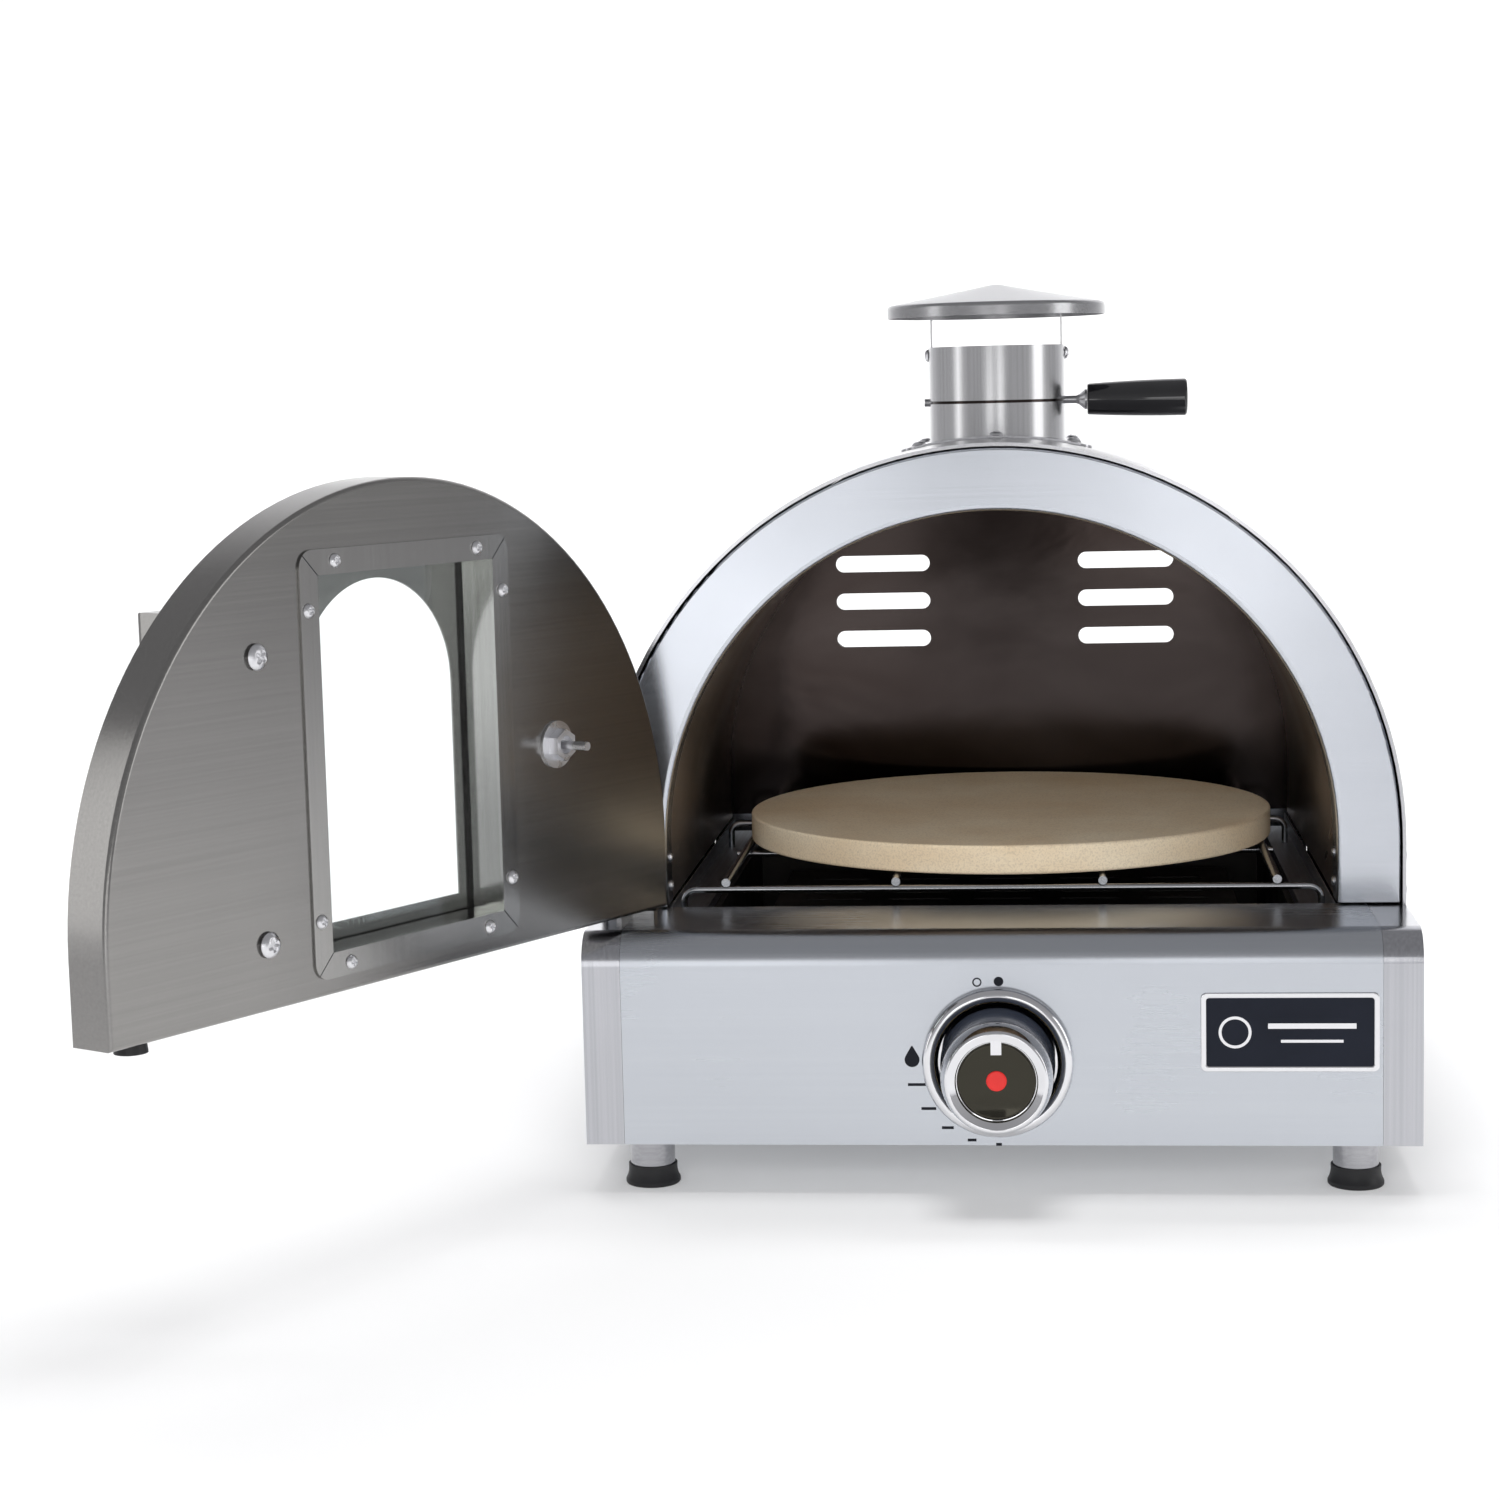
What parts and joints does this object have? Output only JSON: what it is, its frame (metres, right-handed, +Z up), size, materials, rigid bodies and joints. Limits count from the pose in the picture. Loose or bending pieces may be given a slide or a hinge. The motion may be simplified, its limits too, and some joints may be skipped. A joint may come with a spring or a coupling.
{
  "type": "countertop pizza oven",
  "caption": "Gas-fired table-top pizza oven: domed steel hood on a box base, round stone on a wire rack, side-hung windowed door, chimney with damper and cap, and a front gas knob.",
  "frame": {"origin": "on the table, at the centre of the four feet", "axes": "+Z up, +Y towards the back of the oven, +X to the right of a person facing its control panel"},
  "size_m": [0.6577, 0.8159, 0.5136],
  "materials": {
    "satin_steel": "brushed stainless sheet, satin",
    "bright_steel": "finely brushed stainless sheet, nearly mirror bright",
    "liner_steel": "heat-tinted bright stainless sheet",
    "door_steel": "brushed stainless sheet, slightly warm",
    "rack_wire": "bright wire",
    "screw_steel": "polished",
    "chrome": "mirror polished",
    "knob_grey": "dark blue-grey gloss",
    "black_handle": "gloss black",
    "black_rubber": "matt",
    "firebox_steel": "heat-resistant black, matt",
    "burner_steel": "satin",
    "brass": "machined",
    "stone": "fired cordierite, matt",
    "insulation": "ceramic fibre blanket",
    "glass": "clear",
    "pointer_red": "satin",
    "plate_black": "satin black field in a bright rim",
    "igniter_ceramic": "glazed"
  },
  "bodies": {
    "oven": {"base_back_panel": "satin_steel", "base_floor": "satin_steel", "base_front_panel": "satin_steel", "base_side_left": "satin_steel", "base_side_right": "satin_steel", "burner": "burner_steel", "cap_screws": "screw_steel", "cap_straps": "bright_steel", "chimney_cap": "bright_steel", "chimney_flange": "bright_steel", "chimney_pipe_lower": "bright_steel", "chimney_pipe_upper": "bright_steel", "chimney_sleeve": "bright_steel", "cooking_rack": "rack_wire", "dome_skin": "bright_steel", "fascia_screws": "screw_steel", "firebox_tray": "firebox_steel", "flange_screws": "screw_steel", "foot_pads": "black_rubber", "front_fascia": "satin_steel", "gas_feed_pipe": "brass", "gas_inlet": "brass", "gas_valve": "brass", "heat_shield": "firebox_steel", "hinge_bracket": "door_steel", "hinge_pin": "screw_steel", "igniter_electrode": "igniter_ceramic", "inner_back_wall": "liner_steel", "inner_liner": "liner_steel", "insulation_blanket": "insulation", "knob_bezel": "chrome", "leg_bolts": "screw_steel", "leg_tubes": "bright_steel", "nameplate": "plate_black", "rack_rails": "liner_steel", "rear_cover": "satin_steel", "venturi_tube": "burner_steel"},
    "damper": {"damper_plate": "bright_steel", "damper_spindle": "bright_steel", "damper_handle": "black_handle"},
    "valve_plunger": {"valve_plunger": "brass"},
    "knob": {"valve_stem": "screw_steel", "knob_skirt": "knob_grey", "knob_cap": "chrome"},
    "stone": {"pizza_stone": "stone"},
    "door": {"door_inner_pan": "door_steel", "door_outer_panel": "door_steel", "window_frame": "door_steel", "window_glass": "glass", "window_screws": "screw_steel", "handle_screws": "screw_steel", "door_handle": "door_steel", "door_foot": "black_rubber", "hinge_guide": "door_steel", "thermometer_case": "screw_steel", "thermometer_lens": "glass", "thermometer_probe": "screw_steel", "thermometer_nut": "screw_steel"},
    "thermometer_needle": {"thermometer_pointer": "pointer_red"}
  },
  "joints": [
    {"name": "door_swing", "type": "hinge", "parent": "oven", "child": "door", "pos_m": [-0.2095, -0.1793, 0.1555], "axis": [0, 0, 1], "range_deg": [-45, 119.3]},
    {"name": "damper_turn", "type": "hinge", "parent": "oven", "child": "damper", "pos_m": [0, 0.0366, 0.4403], "axis": [1, 0, 0], "range_deg": [0, 90]},
    {"name": "knob_push", "type": "slide", "parent": "oven", "child": "valve_plunger", "axis": [0, 1, 0], "range_m": [0, 0.004], "stiffness_N_per_m": 800},
    {"name": "knob_turn", "type": "hinge", "parent": "valve_plunger", "child": "knob", "pos_m": [0, -0.2455, 0.0762], "axis": [0, -1, 0], "range_deg": [0, 180]},
    {"name": "stone_lift", "type": "slide", "parent": "oven", "child": "stone", "axis": [0, 0, 1], "range_m": [0, 0.02]},
    {"name": "needle_turn", "type": "hinge", "parent": "door", "child": "thermometer_needle", "pos_m": [-0.266, -0.25424, 0.2613], "axis": [-0.8721, 0.4894, 0], "range_deg": [-270, 0]}
  ]
}
